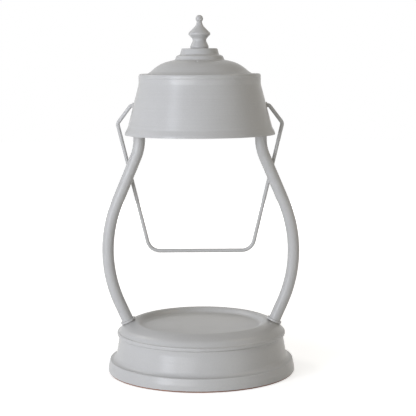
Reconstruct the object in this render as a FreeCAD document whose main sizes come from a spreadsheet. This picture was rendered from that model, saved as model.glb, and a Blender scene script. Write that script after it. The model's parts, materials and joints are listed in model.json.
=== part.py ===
import FreeCAD
import Part
import Sketcher
import math
import os
import re

# Candle warmer lamp: a lantern-shaped lamp that melts a jar candle from above.
# A weighted round base carries two bent tubes. A formed strap across their tops
# holds the shade, the dome and a GU10 halogen bulb, which shines down on the candle.
# A wire bail hangs from the shade's sides and leans on the backs of the tubes.
#
# Frame: millimetres, +Z up, front towards -Y, origin at the middle of the underside.

# Driving dimensions, in millimetres and degrees: alias, value, what it measures.
SIZES = [
    # base shell, from the foot's edge up and inwards
    ("base_radius", 79.85, "lower edge of the base"),
    ("shell_wall", 1.2, "sheet of the base shell"),
    ("foot_knee_inset", 0.25, "bend of the foot inside its lower edge"),
    ("foot_knee_height", 3.8, "bend of the foot above its lower edge"),
    ("foot_knee_rounding", 15.0, "bend of the foot"),
    ("foot_taper", 1.65, "foot's upper edge inside its lower edge"),
    ("foot_height", 9.8, "foot's upper edge above its lower edge"),
    ("foot_edge_rounding", 0.8, "foot's upper edge"),
    ("ledge_run", 4.85, "ledge from the foot's upper edge in to the waist"),
    ("ledge_rise", 0.2, "ledge from the foot's upper edge up to the waist"),
    ("ledge_fillet", 4.3, "where the ledge sweeps up into the waist"),
    ("waist_taper", 2.9, "how much the waist narrows upwards"),
    ("waist_height", 17.4, "waist"),
    ("neck_sweep", 14.0, "where the waist sweeps out under the bead"),
    ("neck_flare", 0.3, "how much the neck under the bead widens upwards"),
    ("neck_height", 2.6, "neck between the waist and the bead"),
    ("neck_fillet", 0.35, "where the neck meets the bead"),
    ("bead_run", 1.1, "bead outside the neck"),
    ("bead_rise", 0.55, "slope under the bead"),
    ("bead_width", 2.75, "bead, upwards"),
    ("bead_rounding", 1.1, "bead"),
    ("step_run", 1.5, "step from the bead in to the shoulder"),
    ("step_rise", 0.45, "step from the bead up to the shoulder"),
    ("step_fillet", 1.1, "where that step meets the shoulder"),
    ("shoulder_run", 2.45, "shoulder's corner inside the step"),
    ("shoulder_rise", 3.6, "shoulder's corner above the step"),
    ("shoulder_rounding", 9.0, "shoulder of the base"),
    ("bow_inset", 5.6, "middle of the bowed slope inside the shoulder's corner"),
    ("bow_angle", 6.0, "how far the slope turns each way from its middle"),
    ("bow_rounding", 30.0, "bowed slope between the shoulder and the crest"),
    ("crest_inset", 7.45, "crest's corner inside the middle of the bowed slope"),
    ("crest_rounding", 5.0, "crest around the candle plate"),
    ("plate_depth", 4.8, "candle plate below the crest's corner"),
    ("plate_wall_angle", 48.0, "slope of the wall around the candle plate"),
    ("plate_fillet", 3.5, "where that wall meets the candle plate"),
    # under and inside the base
    ("pad_thickness", 1.2, "felt pad under the base"),
    ("pad_inset", 0.7, "felt pad inside the base's edge"),
    ("cover_thickness", 2.0, "steel cover under the base"),
    ("cover_gap", 0.3, "cover inside the shell"),
    ("ballast_thickness", 7.0, "cast iron weight"),
    ("ballast_gap", 2.5, "weight inside the foot of the waist"),
    ("post_radius", 4.0, "threaded posts under the candle plate"),
    ("post_circle", 40.0, "posts from the middle"),
    ("post_bore_depth", 14.0, "threaded bore of a post"),
    ("cover_screw_radius", 2.0, "cover screws' shank"),
    ("cover_screw_length", 20.0, "cover screws with their heads"),
    ("cover_screw_head_radius", 3.6, "cover screws' countersunk head"),
    ("inlet_rise", 10.2, "cable inlet above the foot of the waist"),
    ("inlet_bore", 3.0, "radius of the cable inlet"),
    ("gland_radius", 3.9, "gland's threaded neck"),
    ("gland_flange_radius", 4.8, "gland's flange outside the base"),
    ("gland_flange", 1.6, "thickness of that flange"),
    ("gland_reach", 6.8, "gland's neck inside its flange"),
    ("gland_nut_width", 10.4, "gland nut across its flats"),
    ("gland_nut_thickness", 2.6, "gland nut"),
    ("terminal_length", 20.0, "terminal block along X"),
    ("terminal_width", 22.0, "terminal block along Y"),
    ("terminal_height", 11.0, "terminal block"),
    ("terminal_offset", 18.0, "terminal block from the middle"),
    ("terminal_well_radius", 2.2, "screw wells in the terminal block"),
    ("terminal_well_depth", 5.0, "screw wells in the terminal block"),
    ("terminal_pitch", 10.0, "distance between the screw wells"),
    # arms
    ("arm_diameter", 10.0, "round tube of the arms"),
    ("arm_wall", 1.0, "wall of that tube"),
    ("arm_lean", 24.0, "outward lean of the arm's foot from upright"),
    ("arm_belly_rise", 60.2, "corner of the belly bend above the arm's foot"),
    ("arm_belly_radius", 109.5, "belly bend"),
    ("arm_neck_drop", 27.4, "corner of the neck bend below the arm's top"),
    ("arm_neck_radius", 39.0, "neck bend"),
    ("arm_top_gap", 3.55, "arm's upright top inside the sheet of the shade's lip"),
    ("arm_top_rise", 15.5, "arm's top above the shade's rim"),
    ("collar_radius", 6.5, "flat ring under the arm"),
    ("collar_thickness", 1.8, "flat ring under the arm"),
    ("nipple_bore", 2.2, "hollow threaded nipple in the arm's foot"),
    ("nipple_up", 14.0, "nipple's reach into the arm"),
    ("nipple_down", 10.0, "nipple's reach into the base"),
    ("foot_washer_radius", 5.6, "washer under the shell"),
    ("foot_washer_thickness", 1.2, "washer under the shell"),
    ("foot_washer_gap", 0.9, "washer below the shell's slope"),
    ("foot_nut_width", 10.0, "foot nut across its flats"),
    ("foot_nut_thickness", 4.0, "foot nut"),
    ("insert_length", 6.6, "threaded insert in the arm's top"),
    ("seat_gap", 0.3, "clearance of a flat ring on a curved sheet"),
    ("fit_gap", 0.05, "clearance of a close fit"),
    # shade, from the rim up
    ("rim_radius", 63.5, "shade's lower rim"),
    ("rim_height", 202.5, "shade's lower rim above the table"),
    ("rim_band", 2.1, "rolled edge of the rim"),
    ("rim_taper", 0.5, "how much that edge narrows upwards"),
    ("lip_run", 2.05, "flare of the lip, inwards"),
    ("lip_rise", 3.9, "flare of the lip, upwards"),
    ("lip_fillet", 7.0, "where the flare meets the cone"),
    ("cone_taper", 9.6, "how much the shade's cone narrows upwards"),
    ("cone_height", 36.1, "shade's cone"),
    ("band_height", 8.8, "upright band above the cone"),
    ("band_fillet", 12.0, "where the cone meets that band"),
    ("shade_wall", 1.0, "sheet of the shade and the dome"),
    ("shade_edge", 2.1, "rounding of the shade's top edge"),
    # dome, from its foot up
    ("dome_inset", 7.2, "dome's foot inside the shade's band"),
    ("dome_overlap", 6.0, "dome's foot outside the shade's mouth"),
    ("dome_foot_run", 2.9, "flare of the dome's foot, inwards"),
    ("dome_foot_rise", 1.7, "flare of the dome's foot, upwards"),
    ("dome_run", 11.4, "corner of the dome's curve inside its foot"),
    ("dome_rise", 8.8, "corner of the dome's curve above its foot"),
    ("dome_rounding", 30.0, "dome's curve"),
    ("dome_height", 11.5, "where the tier stands on the dome, above its foot"),
    ("tier_radius", 20.8, "low tier on the dome"),
    ("tier_run", 1.3, "side of the tier, inwards"),
    ("tier_rise", 3.2, "side of the tier, upwards"),
    ("tier_rounding", 1.9, "edge of the tier"),
    ("crown_radius", 16.4, "crown on the tier"),
    ("crown_step", 1.2, "foot of the crown above the tier's edge"),
    ("crown_taper", 1.4, "how much the crown narrows upwards"),
    ("crown_rise", 5.05, "crown"),
    ("crown_rounding", 0.9, "edges of the crown"),
    ("vent_radius", 1.2, "vent holes in the dome"),
    ("vent_circle", 26.0, "vent holes from the axis"),
    ("vent_turn", 5.0, "vent holes turned from the front, in degrees"),
    # finial, from the crown up, and its stud
    ("finial_foot_radius", 7.7, "finial's foot"),
    ("finial_foot_height", 1.8, "edge of that foot"),
    ("finial_waist_radius", 5.2, "corner of the finial's waist"),
    ("finial_waist_rise", 5.3, "corner of the waist above the foot's edge"),
    ("finial_waist_rounding", 2.5, "finial's waist"),
    ("finial_disc_radius", 9.15, "finial's disc"),
    ("finial_disc_rise", 4.2, "disc above the corner of the waist"),
    ("finial_disc_edge", 1.4, "edge of the disc"),
    ("finial_disc_rounding", 0.6, "edge of the disc"),
    ("finial_spire_radius", 3.1, "corner of the spire"),
    ("finial_spire_rise", 6.1, "corner of the spire above the disc"),
    ("finial_spire_rounding", 6.0, "curve of the spire"),
    ("finial_neck_radius", 2.15, "neck under the ball"),
    ("finial_neck_rise", 3.2, "neck above the corner of the spire"),
    ("finial_ball_radius", 3.15, "ball on the finial"),
    ("finial_ball_rise", 2.5, "middle of the ball above the neck"),
    ("stud_radius", 2.5, "threaded stud that holds the finial"),
    ("stud_reach", 9.0, "stud's reach into the finial"),
    ("stud_head_radius", 4.5, "stud's head under the strap"),
    ("stud_head_thickness", 1.2, "stud's head under the strap"),
    ("stud_nut_width", 8.0, "stud nut across its flats"),
    ("stud_nut_thickness", 3.0, "stud nut"),
    # strap across the arms
    ("strap_thickness", 1.5, "formed strap"),
    ("strap_width", 14.0, "formed strap"),
    ("strap_foot_run", 4.4, "strap's end outside the arm's middle"),
    ("strap_riser_run", 5.4, "strap's riser inside the arm's middle"),
    ("strap_ledge", 10.0, "ledge under the shade"),
    ("strap_headroom", 8.1, "strap below the crown"),
    ("strap_dome_gap", 2.4, "strap's flat inside the dome's tier"),
    ("strap_screw_radius", 2.4, "screws into the arms' tops"),
    ("strap_screw_length", 8.0, "those screws under the head"),
    ("strap_screw_head_radius", 4.0, "their pan heads"),
    ("strap_screw_head_height", 2.4, "their pan heads"),
    # lampholder and bulb
    ("holder_radius", 14.5, "ceramic lampholder"),
    ("holder_height", 12.5, "ceramic lampholder"),
    ("holder_screw_radius", 1.5, "screws from the strap into the lampholder"),
    ("holder_screw_length", 6.0, "those screws under the head"),
    ("holder_screw_head_radius", 2.6, "their heads"),
    ("holder_screw_head_height", 1.6, "their heads"),
    ("holder_screw_x", 10.5, "those screws from the axis"),
    ("pin_circle", 5.0, "bulb's pins from its axis"),
    ("pin_neck_radius", 1.5, "bulb's pins"),
    ("pin_neck_height", 4.0, "bulb's pins under their heads"),
    ("pin_head_radius", 2.5, "heads of the pins"),
    ("pin_head_height", 3.0, "heads of the pins"),
    ("pin_gap", 0.3, "clearance of the pins in their slots"),
    ("twist_angle", 25.0, "turn that frees the bulb"),
    ("bulb_gap", 0.3, "clearance between bulb and lampholder"),
    ("bulb_base_radius", 12.0, "bulb's ceramic base"),
    ("bulb_base_height", 15.0, "bulb's ceramic base"),
    ("bulb_length", 45.5, "bulb from its front to the lampholder"),
    ("bulb_radius", 25.0, "bulb's rim"),
    ("bulb_rim", 3.0, "upright rim of the reflector"),
    ("bulb_glass", 1.4, "glass of the reflector"),
    ("bulb_neck_radius", 10.0, "reflector's neck"),
    ("bulb_bowl_radius", 17.5, "corner of the reflector's bowl"),
    ("bulb_bowl_rise", 13.0, "corner of the bowl above the rim"),
    ("bulb_bowl_rounding", 40.0, "curve of the bowl"),
    ("lens_thickness", 2.0, "bulb's front glass"),
    ("capsule_radius", 4.0, "quartz capsule in the bulb"),
    ("capsule_length", 20.0, "quartz capsule in the bulb"),
    # bail
    ("wire_diameter", 3.2, "bail's wire"),
    ("pivot_drop", 26.6, "bail's pivots below the shade's top"),
    ("pivot_bend_run", 2.2, "wire's bend outside the shade"),
    ("pivot_bend_radius", 3.0, "wire's bend outside the shade"),
    ("elbow_run", 11.4, "bail's elbows outside that bend"),
    ("elbow_drop", 15.2, "elbows below the pivots"),
    ("elbow_radius", 4.0, "bail's elbows"),
    ("bail_foot_x", 44.0, "bail's lower corners from the middle"),
    ("bail_drop", 127.0, "bail's bar below the pivots"),
    ("bail_corner_radius", 11.0, "bail's lower corners"),
    ("bail_rest_drop", 55.5, "where the bail crosses the arms, below the pivots"),
    ("rest_gap", 0.3, "clearance between the resting bail and the arms"),
    ("bush_wall", 0.9, "bush in the shade's side"),
    ("bush_proud", 0.6, "bush outside the shade"),
    ("bush_flange", 1.2, "bush's flange inside the shade, beyond its neck"),
    ("bush_flange_thickness", 1.2, "bush's flange inside the shade"),
    ("pivot_gap", 0.06, "running clearance of the bail in its bushes"),
    ("cap_radius", 3.0, "push-on cap on the wire's end"),
    ("cap_length", 2.4, "push-on cap on the wire's end"),
    ("cap_gap", 0.3, "clearance between cap and bush"),
    # lead from the terminal block to the lampholder
    ("lead_diameter", 2.4, "silicone lead"),
    ("lead_height", 5.8, "lead above the weight, at the terminal block"),
    ("lead_bend", 12.0, "lead's bend into the arm"),
    ("lead_exit_drop", 16.4, "corner where the lead leaves the arm, below its top"),
    ("lead_exit_bend", 7.0, "lead's bend there"),
    ("lead_slot_width", 3.4, "slot in the arm for the lead"),
    ("lead_slot_length", 8.4, "slot in the arm for the lead"),
    ("lead_slot_rise", 1.2, "slot above the corner of the lead"),
    ("lead_turn_x", 24.0, "lead's upper turn from the axis"),
    ("lead_turn_drop", 10.8, "lead's upper turn below the lampholder"),
    ("lead_turn_bend", 14.0, "lead's upper turn"),
    ("lead_end_run", 5.1, "lead's last turn beside the lampholder"),
    ("lead_end_rise", 6.2, "lead's last turn above the lampholder's underside"),
    ("lead_end_bend", 4.2, "lead's last turn"),
]

# Places worked out from the driving dimensions.
DERIVED = {
    # base
    "shell_bottom": "pad_thickness",
    "knee_radius": "base_radius - foot_knee_inset",
    "knee_height": "shell_bottom + foot_knee_height",
    "foot_edge_radius": "base_radius - foot_taper",
    "foot_edge_height": "shell_bottom + foot_height",
    "waist_radius": "foot_edge_radius - ledge_run",
    "waist_foot": "foot_edge_height + ledge_rise",
    "waist_top_radius": "waist_radius - waist_taper",
    "waist_top": "waist_foot + waist_height",
    "waist_slope": "atan(waist_taper / waist_height) / 1 deg",
    "neck_radius": "waist_top_radius + neck_flare",
    "neck_top": "waist_top + neck_height",
    "bead_radius": "neck_radius + bead_run",
    "bead_bottom": "neck_top + bead_rise",
    "bead_top": "bead_bottom + bead_width",
    "step_radius": "bead_radius - step_run",
    "step_top": "bead_top + step_rise",
    "shoulder_radius": "step_radius - shoulder_run",
    "shoulder_height": "step_top + shoulder_rise",
    "bow_radius": "shoulder_radius - bow_inset",
    "bow_height": "shoulder_height + bow_inset * tan(arm_lean + bow_angle)",
    "bow_bend": "min(bow_rounding; 0.45 * crest_inset / tan(bow_angle))",
    "bow_depth": "bow_bend * (1 / cos(bow_angle) - 1)",
    "arm_foot_x": "bow_radius - bow_depth * sin(arm_lean)",
    "seat_height": "bow_height - bow_depth * cos(arm_lean)",
    "crest_radius": "bow_radius - crest_inset",
    "crest_height": "bow_height + crest_inset * tan(arm_lean - bow_angle)",
    "plate_height": "crest_height - plate_depth",
    "plate_radius": "crest_radius - plate_depth / tan(plate_wall_angle)",
    "plate_wall": "plate_depth / sin(plate_wall_angle)",
    "crest_turn": "(arm_lean - bow_angle + plate_wall_angle) / 2",
    "crest_bend": "min(crest_rounding; 0.66 * plate_wall / tan(crest_turn))",
    "plate_bend": "min(plate_fillet; 0.33 * plate_wall / tan(plate_wall_angle / 2))",
    "plate_underside": "plate_height - shell_wall",
    "cover_top": "shell_bottom + cover_thickness",
    "ballast_radius": "waist_radius - shell_wall - ballast_gap",
    "ballast_top": "cover_top + ballast_thickness",
    "terminal_end": "terminal_offset + terminal_length / 2",
    "inlet_radius": "waist_radius - inlet_rise * tan(waist_slope)",
    "inlet_height": "waist_foot + inlet_rise",
    # arms
    "arm_radius": "arm_diameter / 2",
    "arm_bore": "arm_radius - arm_wall",
    "arm_belly_height": "seat_height + arm_belly_rise",
    "arm_belly_x": "arm_foot_x + arm_belly_rise * tan(arm_lean)",
    "arm_start": "seat_gap + collar_thickness",
    "arm_top_x": "lip_radius - shade_wall - arm_radius - arm_top_gap",
    "arm_top": "rim_height + arm_top_rise",
    "arm_neck_height": "arm_top - arm_neck_drop",
    "nipple_radius": "arm_bore - fit_gap",
    "washer_depth": "shell_wall + foot_washer_gap + foot_washer_thickness",
    # shade and dome
    "lip_radius": "rim_radius - rim_taper - lip_run",
    "lip_height": "rim_height + rim_band + lip_rise",
    "band_radius": "lip_radius - cone_taper",
    "band_bottom": "lip_height + cone_height",
    "shade_top": "band_bottom + band_height",
    "shade_ceiling": "shade_top - shade_wall",
    "dome_radius": "band_radius - dome_inset",
    "shade_mouth": "dome_radius - dome_overlap",
    "dome_foot": "shade_top + fit_gap",
    "tier_foot": "dome_foot + dome_height",
    "tier_top": "tier_foot + tier_rise",
    "tier_inner_radius": "tier_radius - shade_wall * 1.5",
    "crown_foot": "tier_top + crown_step",
    "crown_top": "crown_foot + crown_rise",
    "crown_underside": "crown_top - shade_wall",
    # finial
    "finial_foot": "crown_top + fit_gap",
    "finial_foot_edge": "finial_foot + finial_foot_height",
    "finial_waist": "finial_foot_edge + finial_waist_rise",
    "finial_disc": "finial_waist + finial_disc_rise",
    "finial_disc_top": "finial_disc + finial_disc_edge",
    "finial_spire": "finial_disc_top + finial_spire_rise",
    "finial_neck": "finial_spire + finial_neck_rise",
    # strap, lampholder and bulb
    "strap_top": "crown_underside - strap_headroom",
    "strap_underside": "strap_top - strap_thickness",
    "strap_foot_top": "arm_top + strap_thickness",
    "strap_end_x": "arm_top_x + strap_foot_run",
    "strap_riser_x": "arm_top_x - strap_riser_run",
    "strap_ledge_x": "strap_riser_x - strap_ledge",
    "strap_flat_x": "sqrt(tier_inner_radius^2 - (strap_width / 2)^2) - strap_dome_gap",
    "ledge_top": "shade_ceiling - fit_gap",
    "holder_bottom": "strap_underside - holder_height",
    "bulb_top": "holder_bottom - bulb_gap",
    "bulb_face": "bulb_top - bulb_length",
    "bulb_shoulder": "bulb_top - bulb_base_height",
    "reflector_foot": "bulb_face + lens_thickness + fit_gap",
    "reflector_rim": "reflector_foot + bulb_rim",
    # bail
    "wire_radius": "wire_diameter / 2",
    "pivot_height": "shade_top - pivot_drop",
    "cone_slope": "cone_taper / cone_height",
    "pivot_shade_radius": "band_radius + (band_bottom - pivot_height) * cone_slope",
    "bush_bore": "wire_radius + pivot_gap",
    "bush_radius": "bush_bore + bush_wall",
    "bush_flange_radius": "bush_radius + bush_flange",
    "bush_outer_x": "pivot_shade_radius + bush_proud",
    "bush_seat_x": "pivot_shade_radius - shade_wall * 1.1 - cone_slope * bush_flange_radius",
    "bush_inner_x": "bush_seat_x - bush_flange_thickness - fit_gap",
    "wire_end_x": "bush_inner_x - cap_gap - cap_length / 2",
    "pivot_bend_x": "pivot_shade_radius + pivot_bend_run",
    "elbow_x": "pivot_bend_x + elbow_run",
    "bail_lean": "asin((arm_radius + wire_radius + rest_gap) / bail_rest_drop) / 1 deg",
    # lead
    "lead_start_height": "ballast_top + lead_height",
    "lead_exit_height": "arm_top - lead_exit_drop",
    "lead_end_height": "holder_bottom + lead_end_rise",
}

NUMBERS = {name: number for name, number, meaning in SIZES}

doc = FreeCAD.newDocument("CandleWarmerLamp")
sheet = doc.addObject("Spreadsheet::Sheet", "Sizes")
for row, (name, number, meaning) in enumerate(SIZES, start=1):
    sheet.set(f"A{row}", meaning)
    sheet.set(f"B{row}", str(number))
    sheet.setAlias(f"B{row}", name)
doc.recompute()


def formula(text):
    """Text with plain names, as an expression on the sheet's cells."""

    def expand(match):
        word = match.group()
        if word in NUMBERS:
            return "Sizes." + word
        if word in DERIVED:
            return "(" + formula(DERIVED[word]) + ")"
        return word

    return re.sub(r"[a-z]\w*", expand, text)


def value(text):
    result = sheet.evalExpression(formula(text))
    return float(getattr(result, "Value", result))


def bind(thing, name, text):
    thing.setExpression(name, formula(text))


def place(thing, x="0", y="0", z="0", axis=None, angle="0"):
    if axis:
        turn = FreeCAD.Rotation(FreeCAD.Vector(*axis), value(angle))
        thing.Placement = FreeCAD.Placement(FreeCAD.Vector(), turn)
        bind(thing, "Placement.Rotation.Angle", f"({angle}) * 1 deg")
    for letter, text in zip("xyz", (x, y, z)):
        bind(thing, f"Placement.Base.{letter}", text)
    return thing


# Sketches and the features made from them


def new_body(name):
    body = doc.addObject("PartDesign::Body", name)
    body.Label = name
    return body


def new_sketch(body, name, role, offset=None):
    sketch = body.newObject("Sketcher::SketchObject", name)
    plane = next(item for item in body.Origin.OriginFeatures if item.Role == role)
    sketch.AttachmentSupport = [(plane, "")]
    sketch.MapMode = "FlatFace"
    if offset:
        bind(sketch, "AttachmentOffset.Base.z", offset)
    return sketch


def pin_point(sketch, geometry, end, x, y):
    """Holds a point of the sketch at a place given by two expressions."""
    for kind, text, axis in (("DistanceX", x, -2), ("DistanceY", y, -1)):
        if text == "0":
            sketch.addConstraint(Sketcher.Constraint("PointOnObject", geometry, end, axis))
            continue
        rule = Sketcher.Constraint(kind, -1, 1, geometry, end, value(text))
        index = sketch.addConstraint(rule)
        bind(sketch, f"Constraints[{index}]", text)


def trace(sketch, corners, closed=True):
    """Draws straight runs through corners (x, y) or rounded corners (x, y, radius)."""
    points = [FreeCAD.Vector(value(c[0]), value(c[1]), 0) for c in corners]
    count = len(points)
    starts = list(points)
    ends = list(points)
    arcs = {}
    for i, corner in enumerate(corners):
        if len(corner) < 3:
            continue
        into = (points[i] - points[i - 1]).normalize()
        out = (points[(i + 1) % count] - points[i]).normalize()
        turn = into.getAngle(out)
        radius = value(corner[2])
        reach = radius * math.tan(turn / 2)
        ends[i] = points[i] - into * reach
        starts[i] = points[i] + out * reach
        inward = (out - into).normalize()
        centre = points[i] + inward * (radius / math.cos(turn / 2))
        circle = Part.Circle(centre, FreeCAD.Vector(0, 0, 1), radius)
        left = into.cross(out).z > 0
        first, last = (ends[i], starts[i]) if left else (starts[i], ends[i])
        arc = Part.ArcOfCircle(circle, circle.parameter(first), circle.parameter(last))
        arcs[i] = (sketch.addGeometry(arc, False), 1 if left else 2, 2 if left else 1)
    run_count = count if closed else count - 1
    runs = []
    for i in range(run_count):
        line = Part.LineSegment(starts[i], ends[(i + 1) % count])
        runs.append(sketch.addGeometry(line, False))
    for i, corner in enumerate(corners):
        before = runs[i - 1] if closed or i > 0 else None
        after = runs[i] if i < run_count else None
        if i in arcs:
            arc, entry, leave = arcs[i]
            sketch.addConstraint(Sketcher.Constraint("Tangent", before, 2, arc, entry))
            sketch.addConstraint(Sketcher.Constraint("Tangent", arc, leave, after, 1))
            rule = Sketcher.Constraint("Radius", arc, value(corner[2]))
            bind(sketch, f"Constraints[{sketch.addConstraint(rule)}]", corner[2])
            tip = sketch.addGeometry(Part.Point(points[i]), True)
            sketch.addConstraint(Sketcher.Constraint("PointOnObject", tip, 1, before))
            sketch.addConstraint(Sketcher.Constraint("PointOnObject", tip, 1, after))
            pin_point(sketch, tip, 1, corner[0], corner[1])
        elif after is not None:
            if before is not None:
                sketch.addConstraint(Sketcher.Constraint("Coincident", before, 2, after, 1))
            pin_point(sketch, after, 1, corner[0], corner[1])
        else:
            pin_point(sketch, before, 2, corner[0], corner[1])


def trace_circle(sketch, x, y, radius):
    middle = FreeCAD.Vector(value(x), value(y), 0)
    circle = Part.Circle(middle, FreeCAD.Vector(0, 0, 1), value(radius))
    index = sketch.addGeometry(circle, False)
    pin_point(sketch, index, 3, x, y)
    rule = Sketcher.Constraint("Radius", index, value(radius))
    bind(sketch, f"Constraints[{sketch.addConstraint(rule)}]", radius)


def turned(name, corners):
    """A piece turned about Z from its half section in the XZ plane."""
    body = new_body(name)
    sketch = new_sketch(body, name + "_section", "XZ_Plane")
    trace(sketch, corners)
    feature = body.newObject("PartDesign::Revolution", name + "_turned")
    feature.Profile = sketch
    feature.ReferenceAxis = (sketch, ["V_Axis"])
    feature.Angle = 360
    body.Tip = feature
    return body


def swept(name, route, role, offset, x, y, radii):
    """A tube or wire: circles on an origin plane, swept along a route in the XZ plane."""
    body = new_body(name)
    spine = new_sketch(body, name + "_route", "XZ_Plane")
    trace(spine, route, closed=False)
    section = new_sketch(body, name + "_section", role, offset)
    for radius in radii:
        trace_circle(section, x, y, radius)
    doc.recompute()
    feature = body.newObject("PartDesign::AdditivePipe", name + "_swept")
    feature.Profile = section
    edges = [f"Edge{i + 1}" for i in range(len(spine.Shape.Edges))]
    feature.Spine = (spine, edges)
    body.Tip = feature
    return body


# Solids made from primitives


def cylinder(name, radius, length, **where):
    thing = doc.addObject("Part::Cylinder", name)
    bind(thing, "Radius", radius)
    bind(thing, "Height", length)
    return place(thing, **where)


def box(name, length, width, height, **where):
    thing = doc.addObject("Part::Box", name)
    bind(thing, "Length", length)
    bind(thing, "Width", width)
    bind(thing, "Height", height)
    return place(thing, **where)


def cone(name, low_radius, high_radius, height, **where):
    thing = doc.addObject("Part::Cone", name)
    bind(thing, "Radius1", low_radius)
    bind(thing, "Radius2", high_radius)
    bind(thing, "Height", height)
    return place(thing, **where)


def hexagon(name, width, height, **where):
    thing = doc.addObject("Part::Prism", name)
    thing.Polygon = 6
    bind(thing, "Circumradius", f"({width}) / 2 / cos(30)")
    bind(thing, "Height", height)
    return place(thing, **where)


def fuse(name, things):
    thing = doc.addObject("Part::MultiFuse", name)
    thing.Shapes = things
    return thing


def cut(name, base, tools):
    thing = doc.addObject("Part::Cut", name)
    thing.Base = base
    thing.Tool = tools[0] if len(tools) == 1 else fuse(name + "_tools", tools)
    return thing


def group(name, things):
    """Separate solids in one node."""
    thing = doc.addObject("Part::Compound", name)
    thing.Links = things
    return thing


def mirrored(name, thing):
    """The same piece on the other side of the lamp."""
    twin = doc.addObject("Part::Mirroring", name)
    twin.Source = thing
    twin.Normal = FreeCAD.Vector(1, 0, 0)
    return twin


def ring(name, radius, bore, length, **where):
    outside = cylinder(name + "_outside", radius, length)
    inside = cylinder(name + "_inside", bore, length)
    return place(cut(name, outside, [inside]), **where)


def nut(name, width, bore, thickness, **where):
    outside = hexagon(name + "_outside", width, thickness)
    inside = cylinder(name + "_inside", bore, thickness)
    return place(cut(name, outside, [inside]), **where)


def pan_screw(name, radius, length, head_radius, head_height, **where):
    """A pan-head screw that points down, with a slot, its head seated on z = 0."""
    shank = cylinder(name + "_shank", radius, length, z=f"-({length})")
    head = cylinder(name + "_head", head_radius, head_height)
    slot = box(
        name + "_slot",
        f"2 * ({head_radius})",
        f"({head_radius}) / 4",
        f"({head_height}) / 2",
        x=f"-({head_radius})",
        y=f"-({head_radius}) / 8",
        z=f"({head_height}) / 2",
    )
    return place(cut(name, fuse(name + "_blank", [shank, head]), [slot]), **where)


SIDEWAYS = dict(axis=(0, 1, 0), angle="90")


def at_foot(distance):
    """On the axis of the right arm's foot, at a distance above the shoulder."""
    return dict(
        x=f"arm_foot_x + ({distance}) * sin(arm_lean)",
        z=f"seat_height + ({distance}) * cos(arm_lean)",
        axis=(0, 1, 0),
        angle="arm_lean",
    )


def on_waist(distance):
    """On the axis of the cable inlet, at a distance outside the rear of the waist."""
    return dict(
        y=f"inlet_radius + ({distance}) * cos(waist_slope)",
        z=f"inlet_height + ({distance}) * sin(waist_slope)",
        axis=(1, 0, 0),
        angle="waist_slope - 90",
    )


# Base


def base_shell():
    """Spun shell: foot, ledge, waist, neck, bead, bowed shoulder, crest and sunk candle plate."""
    outside = [
        ("base_radius", "shell_bottom"),
        ("knee_radius", "knee_height", "foot_knee_rounding"),
        ("foot_edge_radius", "foot_edge_height", "foot_edge_rounding"),
        ("waist_radius", "waist_foot", "ledge_fillet"),
        ("waist_top_radius", "waist_top", "neck_sweep"),
        ("neck_radius", "neck_top", "neck_fillet"),
        ("bead_radius", "bead_bottom", "bead_rounding"),
        ("bead_radius", "bead_top", "bead_rounding"),
        ("step_radius", "step_top", "step_fillet"),
        ("shoulder_radius", "shoulder_height", "shoulder_rounding"),
        ("bow_radius", "bow_height", "bow_bend"),
        ("crest_radius", "crest_height", "crest_bend"),
        ("plate_radius", "plate_height", "plate_bend"),
        ("0", "plate_height"),
    ]
    inside = [
        ("0", "plate_underside"),
        ("plate_radius + shell_wall / 2", "plate_underside", "plate_bend"),
        ("crest_radius + shell_wall / 5", "crest_height - shell_wall * 1.2", "crest_bend - shell_wall"),
        ("bow_radius - shell_wall * sin(arm_lean)", "bow_height - shell_wall * cos(arm_lean)",
         "bow_bend - shell_wall"),
        ("shoulder_radius - shell_wall * 0.7", "shoulder_height - shell_wall * 0.8",
         "shoulder_rounding - shell_wall"),
        ("step_radius - shell_wall", "step_top - shell_wall / 2"),
        ("bead_radius - shell_wall", "(bead_bottom + bead_top) / 2"),
        ("neck_radius - shell_wall", "neck_top"),
        ("waist_top_radius - shell_wall", "waist_top", "neck_sweep"),
        ("waist_radius - shell_wall * 0.9", "waist_foot - shell_wall", "ledge_fillet"),
        ("foot_edge_radius - shell_wall * 1.1", "foot_edge_height - shell_wall"),
        ("knee_radius - shell_wall", "knee_height"),
        ("knee_radius - shell_wall", "shell_bottom"),
    ]
    blank = turned("base_shell_blank", outside + inside)
    foot_hole = cylinder(
        "foot_hole",
        "nipple_radius + seat_gap",
        "shell_wall * 8",
        **at_foot("-shell_wall * 5"),
    )
    inlet_hole = cylinder(
        "inlet_hole",
        "gland_radius + fit_gap * 2",
        "shell_wall * 6",
        **on_waist("-shell_wall * 4"),
    )
    return cut("base_shell", blank, [foot_hole, mirrored("foot_hole_left", foot_hole), inlet_hole])


def around(count):
    """Angles of equally spaced pieces, the first one at the rear."""
    return [90 + 360 * i / count for i in range(count)]


def on_circle(radius, angle):
    return dict(x=f"{radius} * cos({angle})", y=f"{radius} * sin({angle})")


def countersink(name, grow, **where):
    """The head and shank of a cover screw, or with grow the room for it."""
    head = cone(
        name + "_head",
        f"cover_screw_head_radius + {grow}",
        f"cover_screw_radius + {grow}",
        "cover_thickness",
    )
    shank = cylinder(name + "_shank", f"cover_screw_radius + {grow}", "cover_screw_length")
    return place(fuse(name, [head, shank]), **where)


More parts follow.
